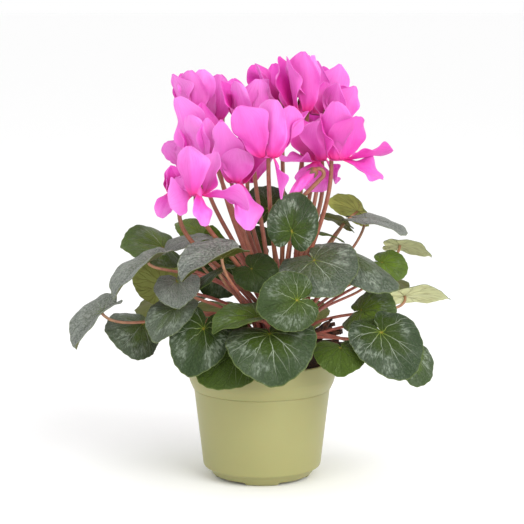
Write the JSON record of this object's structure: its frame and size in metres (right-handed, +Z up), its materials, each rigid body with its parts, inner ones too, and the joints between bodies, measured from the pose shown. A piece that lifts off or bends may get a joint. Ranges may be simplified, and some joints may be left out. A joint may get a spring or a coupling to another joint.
{
  "type": "potted cyclamen",
  "caption": "Florist's cyclamen in flower, with marbled heart-shaped leaves and upswept pink petals, growing from a tuber in a pale green plastic nursery pot.",
  "frame": {"origin": "centre of the pot's foot, on the surface that it stands on", "axes": "+Z up along the pot's axis; the picture looks along +Y, so -Y is the front of the plant and +X its right"},
  "size_m": [0.3069, 0.1929, 0.3466],
  "materials": {
    "pot_plastic": "satin, thin-walled, pale yellow-green",
    "peat": "moist, crumbly, dark",
    "tuber_skin": "corky brown",
    "leaf_stalk": "smooth, brownish pink, darker at the foot",
    "flower_stalk": "smooth, brownish pink, darker red at the foot",
    "leaf_blade": "dark green with silver marbling and pale veins, satin",
    "petal": "soft magenta pink, deeper at the mouth"
  },
  "bodies": {
    "root": {"pot": "pot_plastic", "soil": "peat", "tuber": "tuber_skin", "leaf_stalks": "leaf_stalk", "flower_stalks": "flower_stalk", "leaf_01": "leaf_blade", "leaf_02": "leaf_blade", "leaf_03": "leaf_blade", "leaf_04": "leaf_blade", "leaf_05": "leaf_blade", "leaf_06": "leaf_blade", "leaf_07": "leaf_blade", "leaf_08": "leaf_blade", "leaf_09": "leaf_blade", "leaf_10": "leaf_blade", "leaf_11": "leaf_blade", "leaf_12": "leaf_blade", "leaf_13": "leaf_blade", "leaf_14": "leaf_blade", "leaf_15": "leaf_blade", "leaf_16": "leaf_blade", "leaf_17": "leaf_blade", "leaf_18": "leaf_blade", "leaf_19": "leaf_blade", "leaf_20": "leaf_blade", "leaf_21": "leaf_blade", "leaf_22": "leaf_blade", "leaf_23": "leaf_blade", "leaf_24": "leaf_blade", "leaf_25": "leaf_blade", "leaf_26": "leaf_blade", "leaf_27": "leaf_blade", "leaf_28": "leaf_blade", "leaf_29": "leaf_blade", "leaf_30": "leaf_blade", "leaf_31": "leaf_blade", "leaf_32": "leaf_blade", "leaf_33": "leaf_blade", "leaf_34": "leaf_blade", "leaf_35": "leaf_blade", "leaf_36": "leaf_blade", "leaf_37": "leaf_blade", "bloom_01": "petal", "bloom_02": "petal", "bloom_03": "petal", "bloom_04": "petal", "bloom_05": "petal", "bloom_06": "petal", "bloom_07": "petal", "bloom_08": "petal", "bloom_09": "petal", "bloom_10": "petal", "bloom_11": "petal", "bloom_12": "petal", "bloom_13": "petal", "bloom_14": "petal", "bloom_15": "petal", "bloom_16": "petal", "bloom_17": "petal", "bud_01": "petal"}
  },
  "joints": []
}
